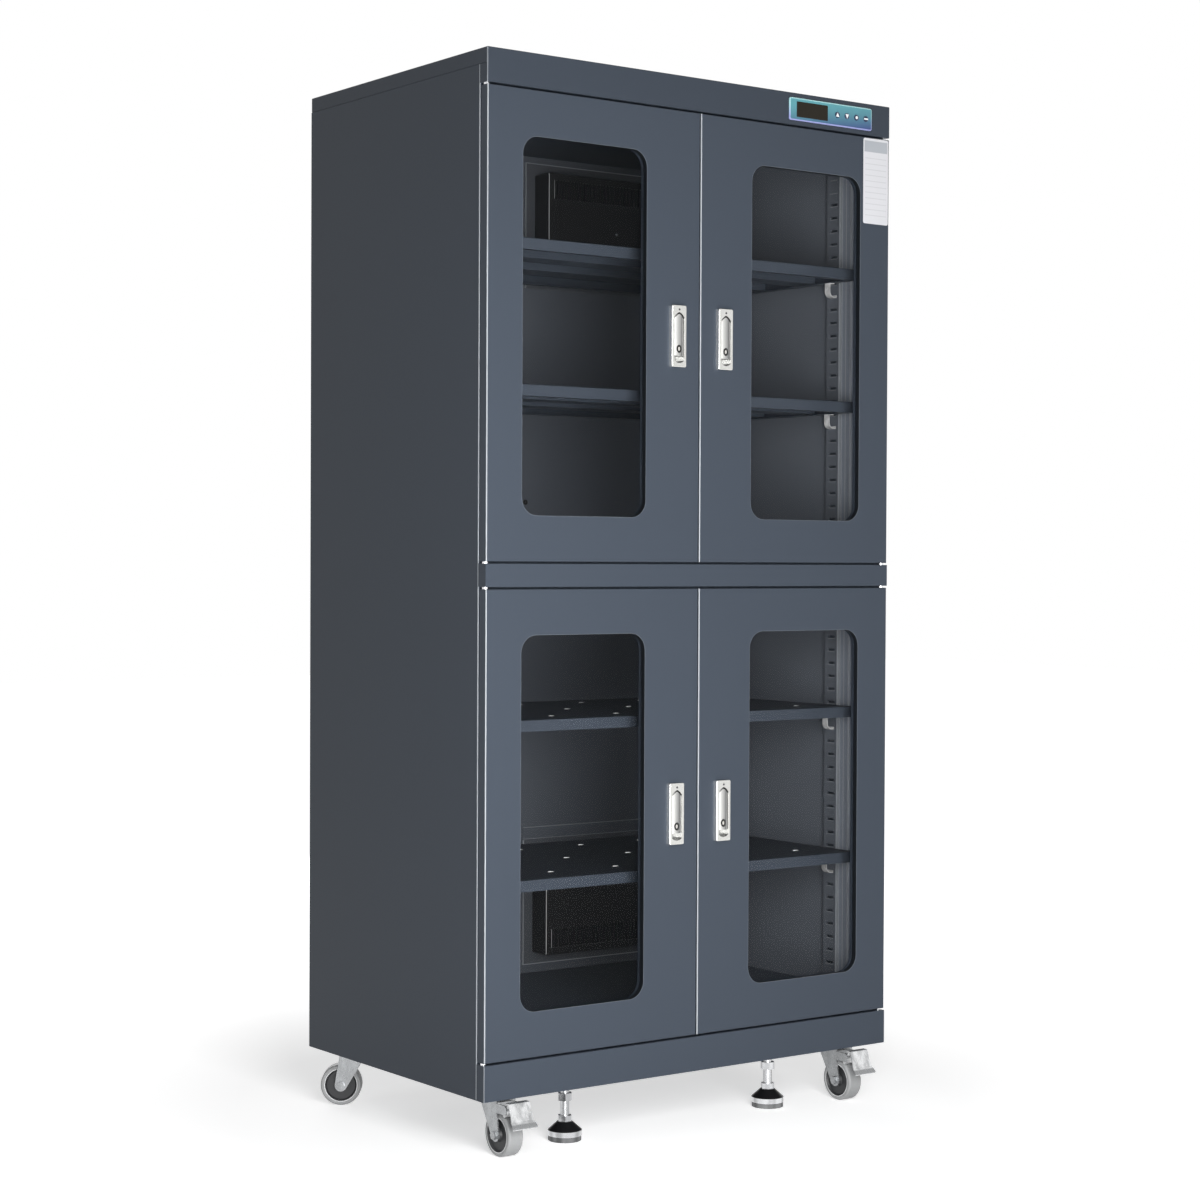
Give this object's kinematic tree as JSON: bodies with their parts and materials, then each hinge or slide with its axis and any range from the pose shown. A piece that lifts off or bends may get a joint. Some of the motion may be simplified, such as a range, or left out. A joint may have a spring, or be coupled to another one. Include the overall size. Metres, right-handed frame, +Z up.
{
  "type": "desiccator cabinet",
  "caption": "Tall glazed dry-storage cabinet with hinged lockable doors, shelves on slotted uprights, rear drying units, header controls, swivel casters and levelling feet.",
  "frame": {"origin": "on the floor under the middle of the overall bounding box", "axes": "+Z up, +X to the right of a viewer facing the doors, +Y towards the rear wall; the doors face -Y"},
  "size_m": [0.9, 0.633, 1.855],
  "materials": {
    "body_paint": "satin textured slate-grey powder coat",
    "interior_paint": "satin slate-grey powder coat",
    "bright_steel": "polished plated steel",
    "zinc_steel": "bright zinc plate",
    "black_plastic": "fine matt moulding",
    "grey_plastic": "satin",
    "panel_blue": "printed membrane, satin gloss",
    "display_glass": "dark gloss window",
    "button_plastic": "dark blue, satin",
    "window_glass": "clear toughened glass",
    "seal_rubber": "matt",
    "handle_metal": "satin-chromed zinc casting",
    "lock_metal": "plated steel",
    "wheel_grey": "grey polyurethane tread on a dark hub"
  },
  "bodies": {
    "cabinet": {"side_panel_left": "body_paint", "side_panel_right": "body_paint", "top_cover": "body_paint", "front_frame": "body_paint", "base_pan": "body_paint", "back_panel": "body_paint", "rear_covers": "body_paint", "header_tray": "interior_paint", "shelf_uprights": "interior_paint", "shelf_1": "interior_paint", "shelf_2": "interior_paint", "shelf_3": "interior_paint", "shelf_4": "interior_paint", "shelf_clips": "bright_steel", "hinge_pins": "bright_steel", "dehumidifier_units": "black_plastic", "dehumidifier_frames": "grey_plastic", "control_panel": "panel_blue", "display_window": "display_glass", "caster_plates": "zinc_steel"},
    "door_upper_left": {"door_shell_upper_left": "body_paint", "door_window_upper_left": "window_glass", "door_seal_upper_left": "seal_rubber", "handle_housing_upper_left": "handle_metal"},
    "lever_upper_left": {"handle_lever_upper_left": "handle_metal"},
    "lock_upper_left": {"door_lock_upper_left": "lock_metal"},
    "door_upper_right": {"door_shell_upper_right": "body_paint", "door_window_upper_right": "window_glass", "door_seal_upper_right": "seal_rubber", "handle_housing_upper_right": "handle_metal"},
    "lever_upper_right": {"handle_lever_upper_right": "handle_metal"},
    "lock_upper_right": {"door_lock_upper_right": "lock_metal"},
    "door_lower_left": {"door_shell_lower_left": "body_paint", "door_window_lower_left": "window_glass", "door_seal_lower_left": "seal_rubber", "handle_housing_lower_left": "handle_metal"},
    "lever_lower_left": {"handle_lever_lower_left": "handle_metal"},
    "lock_lower_left": {"door_lock_lower_left": "lock_metal"},
    "door_lower_right": {"door_shell_lower_right": "body_paint", "door_window_lower_right": "window_glass", "door_seal_lower_right": "seal_rubber", "handle_housing_lower_right": "handle_metal"},
    "lever_lower_right": {"handle_lever_lower_right": "handle_metal"},
    "lock_lower_right": {"door_lock_lower_right": "lock_metal"},
    "caster_front_left": {"caster_fork_front_left": "zinc_steel"},
    "wheel_front_left": {"caster_wheel_front_left": "wheel_grey"},
    "pedal_front_left": {"brake_pedal_front_left": "zinc_steel"},
    "caster_front_right": {"caster_fork_front_right": "zinc_steel"},
    "wheel_front_right": {"caster_wheel_front_right": "wheel_grey"},
    "pedal_front_right": {"brake_pedal_front_right": "zinc_steel"},
    "caster_rear_left": {"caster_fork_rear_left": "zinc_steel"},
    "wheel_rear_left": {"caster_wheel_rear_left": "wheel_grey"},
    "caster_rear_right": {"caster_fork_rear_right": "zinc_steel"},
    "wheel_rear_right": {"caster_wheel_rear_right": "wheel_grey"},
    "foot_left": {"levelling_foot_left": "bright_steel"},
    "foot_right": {"levelling_foot_right": "bright_steel"},
    "button_1": {"button_1": "button_plastic"},
    "button_2": {"button_2": "button_plastic"},
    "button_3": {"button_3": "button_plastic"},
    "button_4": {"button_4": "button_plastic"}
  },
  "joints": [
    {"name": "upper_left_door_hinge", "type": "hinge", "parent": "cabinet", "child": "door_upper_left", "pos_m": [-0.444, -0.2815, 1.399], "axis": [0, 0, -1], "range_deg": [0, 110]},
    {"name": "upper_left_lever_swing", "type": "hinge", "parent": "door_upper_left", "child": "lever_upper_left", "pos_m": [-0.0525, -0.2977, 1.43], "axis": [-1, 0, 0], "range_deg": [0, 40]},
    {"name": "upper_left_lock_turn", "type": "hinge", "parent": "door_upper_left", "child": "lock_upper_left", "pos_m": [-0.0525, -0.2925, 1.377], "axis": [0, -1, 0], "range_deg": [0, 90]},
    {"name": "upper_right_door_hinge", "type": "hinge", "parent": "cabinet", "child": "door_upper_right", "pos_m": [0.444, -0.2815, 1.399], "axis": [0, 0, 1], "range_deg": [0, 110]},
    {"name": "upper_right_lever_swing", "type": "hinge", "parent": "door_upper_right", "child": "lever_upper_right", "pos_m": [0.0525, -0.2977, 1.43], "axis": [-1, 0, 0], "range_deg": [0, 40]},
    {"name": "upper_right_lock_turn", "type": "hinge", "parent": "door_upper_right", "child": "lock_upper_right", "pos_m": [0.0525, -0.2925, 1.377], "axis": [0, 1, 0], "range_deg": [0, 90]},
    {"name": "lower_left_door_hinge", "type": "hinge", "parent": "cabinet", "child": "door_lower_left", "pos_m": [-0.444, -0.2815, 0.564], "axis": [0, 0, -1], "range_deg": [0, 110]},
    {"name": "lower_left_lever_swing", "type": "hinge", "parent": "door_lower_left", "child": "lever_lower_left", "pos_m": [-0.0525, -0.2977, 0.595], "axis": [-1, 0, 0], "range_deg": [0, 40]},
    {"name": "lower_left_lock_turn", "type": "hinge", "parent": "door_lower_left", "child": "lock_lower_left", "pos_m": [-0.0525, -0.2925, 0.542], "axis": [0, -1, 0], "range_deg": [0, 90]},
    {"name": "lower_right_door_hinge", "type": "hinge", "parent": "cabinet", "child": "door_lower_right", "pos_m": [0.444, -0.2815, 0.564], "axis": [0, 0, 1], "range_deg": [0, 110]},
    {"name": "lower_right_lever_swing", "type": "hinge", "parent": "door_lower_right", "child": "lever_lower_right", "pos_m": [0.0525, -0.2977, 0.595], "axis": [-1, 0, 0], "range_deg": [0, 40]},
    {"name": "lower_right_lock_turn", "type": "hinge", "parent": "door_lower_right", "child": "lock_lower_right", "pos_m": [0.0525, -0.2925, 0.542], "axis": [0, 1, 0], "range_deg": [0, 90]},
    {"name": "front_left_swivel", "type": "hinge", "parent": "cabinet", "child": "caster_front_left", "pos_m": [-0.382, -0.2245, 0.096], "axis": [0, 0, 1], "continuous": true},
    {"name": "front_left_wheel_roll", "type": "hinge", "parent": "caster_front_left", "child": "wheel_front_left", "pos_m": [-0.382, -0.2525, 0.0375], "axis": [1, 0, 0], "continuous": true},
    {"name": "front_left_brake_pedal", "type": "hinge", "parent": "caster_front_left", "child": "pedal_front_left", "pos_m": [-0.382, -0.2785, 0.084], "axis": [1, 0, 0], "range_deg": [0, 12]},
    {"name": "front_right_swivel", "type": "hinge", "parent": "cabinet", "child": "caster_front_right", "pos_m": [0.382, -0.2245, 0.096], "axis": [0, 0, 1], "continuous": true},
    {"name": "front_right_wheel_roll", "type": "hinge", "parent": "caster_front_right", "child": "wheel_front_right", "pos_m": [0.382, -0.2525, 0.0375], "axis": [1, 0, 0], "continuous": true},
    {"name": "front_right_brake_pedal", "type": "hinge", "parent": "caster_front_right", "child": "pedal_front_right", "pos_m": [0.382, -0.2785, 0.084], "axis": [1, 0, 0], "range_deg": [0, 12]},
    {"name": "rear_left_swivel", "type": "hinge", "parent": "cabinet", "child": "caster_rear_left", "pos_m": [-0.382, 0.2345, 0.096], "axis": [0, 0, 1], "continuous": true},
    {"name": "rear_left_wheel_roll", "type": "hinge", "parent": "caster_rear_left", "child": "wheel_rear_left", "pos_m": [-0.40459, 0.25104, 0.0375], "axis": [-0.5906, -0.807, 0], "continuous": true},
    {"name": "rear_right_swivel", "type": "hinge", "parent": "cabinet", "child": "caster_rear_right", "pos_m": [0.382, 0.2345, 0.096], "axis": [0, 0, 1], "continuous": true},
    {"name": "rear_right_wheel_roll", "type": "hinge", "parent": "caster_rear_right", "child": "wheel_rear_right", "pos_m": [0.39515, 0.25922, 0.0375], "axis": [-0.8829, 0.4695, 0], "continuous": true},
    {"name": "left_foot_height", "type": "slide", "parent": "cabinet", "child": "foot_left", "axis": [0, 0, 1], "range_m": [-0.01, 0.02]},
    {"name": "right_foot_height", "type": "slide", "parent": "cabinet", "child": "foot_right", "axis": [0, 0, 1], "range_m": [-0.01, 0.02]},
    {"name": "button_1_press", "type": "slide", "parent": "cabinet", "child": "button_1", "axis": [0, 1, 0], "range_m": [0, 0.0005], "stiffness_N_per_m": 800, "springref_m": -0.0005},
    {"name": "button_2_press", "type": "slide", "parent": "cabinet", "child": "button_2", "axis": [0, 1, 0], "range_m": [0, 0.0005], "stiffness_N_per_m": 800, "springref_m": -0.0005},
    {"name": "button_3_press", "type": "slide", "parent": "cabinet", "child": "button_3", "axis": [0, 1, 0], "range_m": [0, 0.0005], "stiffness_N_per_m": 800, "springref_m": -0.0005},
    {"name": "button_4_press", "type": "slide", "parent": "cabinet", "child": "button_4", "axis": [0, 1, 0], "range_m": [0, 0.0005], "stiffness_N_per_m": 800, "springref_m": -0.0005}
  ]
}
